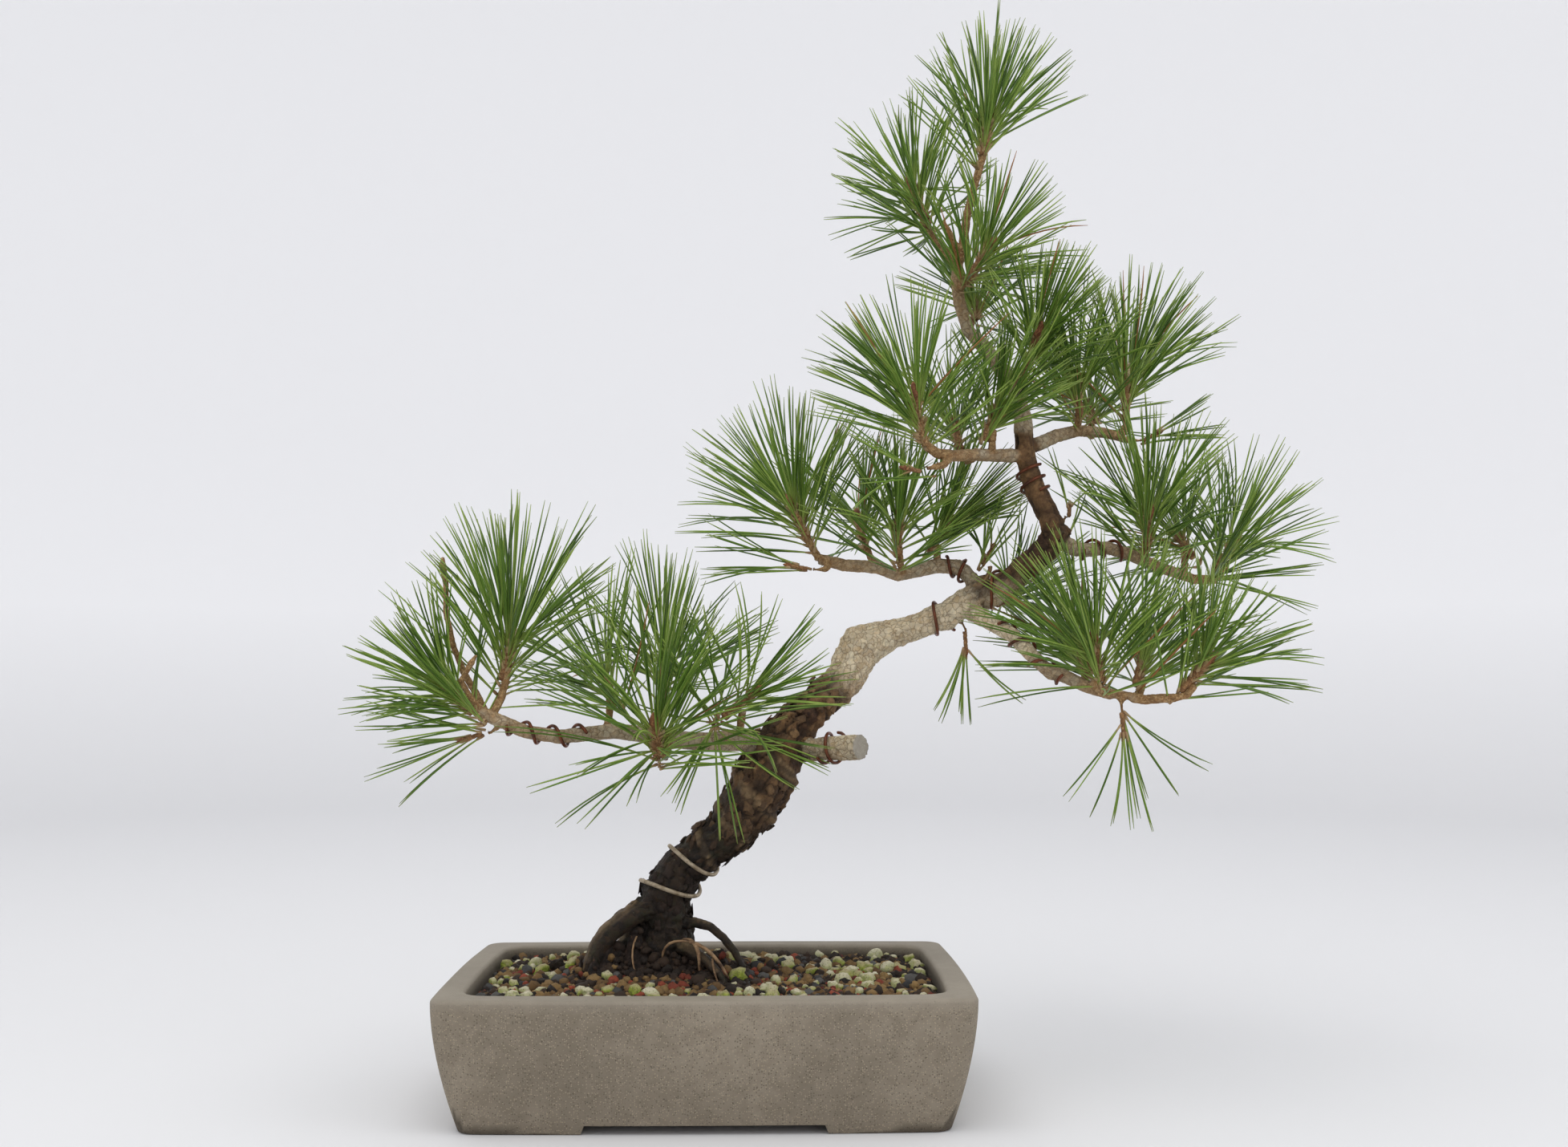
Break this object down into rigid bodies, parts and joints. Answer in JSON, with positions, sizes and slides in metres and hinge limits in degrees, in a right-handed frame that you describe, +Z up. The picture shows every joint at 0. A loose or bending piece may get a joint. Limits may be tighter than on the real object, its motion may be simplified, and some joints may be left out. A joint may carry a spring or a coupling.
{
  "type": "bonsai pine in a pot",
  "caption": "Slanting bonsai pine with wired branches and long needles, growing in a rectangular unglazed stoneware pot with corner feet and granular soil.",
  "frame": {"origin": "middle of the object's plan outline, on the surface that the pot stands on", "axes": "+Z up, +X to the right along the pot's long side (the way the trunk leans), +Y from the pot's front to its back"},
  "size_m": [0.6256, 0.2798, 0.6854],
  "materials": {
    "stoneware": "matte",
    "soil": "matte",
    "bark": "matte",
    "needle": "satin",
    "pale_wire": "satin",
    "brown_wire": "satin",
    "plastic_mesh": "matte",
    "pumice": "matte",
    "bark_chip": "matte"
  },
  "bodies": {
    "root": {"pot": "stoneware", "soil": "soil", "tree": "bark", "needles_low_left_tip": "needle", "needles_low_left_trailing": "needle", "needles_low_left_upper": "needle", "needles_low_left_front": "needle", "needles_low_left_middle": "needle", "needles_low_left_inner": "needle", "needles_low_left_rear": "needle", "needles_mid_left_tip": "needle", "needles_mid_left_low": "needle", "needles_mid_left_front": "needle", "needles_mid_left_rear": "needle", "needles_mid_left_inner": "needle", "needles_low_right_first": "needle", "needles_low_right_middle": "needle", "needles_low_right_tip": "needle", "needles_low_right_under": "needle", "needles_low_right_rear": "needle", "needles_right_first": "needle", "needles_right_tip": "needle", "needles_right_rear": "needle", "needles_high_left_tip": "needle", "needles_high_left_middle": "needle", "needles_high_left_low": "needle", "needles_high_left_rear": "needle", "needles_high_right_tip": "needle", "needles_high_right_middle": "needle", "needles_high_right_low": "needle", "needles_high_right_rear": "needle", "needles_leader_low": "needle", "needles_leader_middle": "needle", "needles_leader_rear": "needle", "needles_leader_left_tip": "needle", "needles_leader_tip": "needle", "needles_fork_upper": "needle", "needles_fork_rear": "needle", "needles_fork_lower": "needle", "needles_node_rear": "needle", "trunk_wire": "pale_wire", "low_left_wire": "brown_wire", "stub_wire": "brown_wire", "fork_wire": "brown_wire", "upper_trunk_wire": "brown_wire", "high_trunk_wire": "brown_wire", "mid_left_wire": "brown_wire", "low_right_wire": "brown_wire", "right_wire": "brown_wire", "drainage_screen_left": "plastic_mesh", "screen_clip_left": "pale_wire", "drainage_screen_right": "plastic_mesh", "screen_clip_right": "pale_wire", "tie_down_wire": "pale_wire", "bark_chip_left": "bark_chip", "bark_chip_right": "bark_chip", "pumice_stone_1": "pumice", "pumice_stone_2": "pumice", "pumice_stone_3": "pumice", "pumice_stone_4": "pumice"}
  },
  "joints": []
}
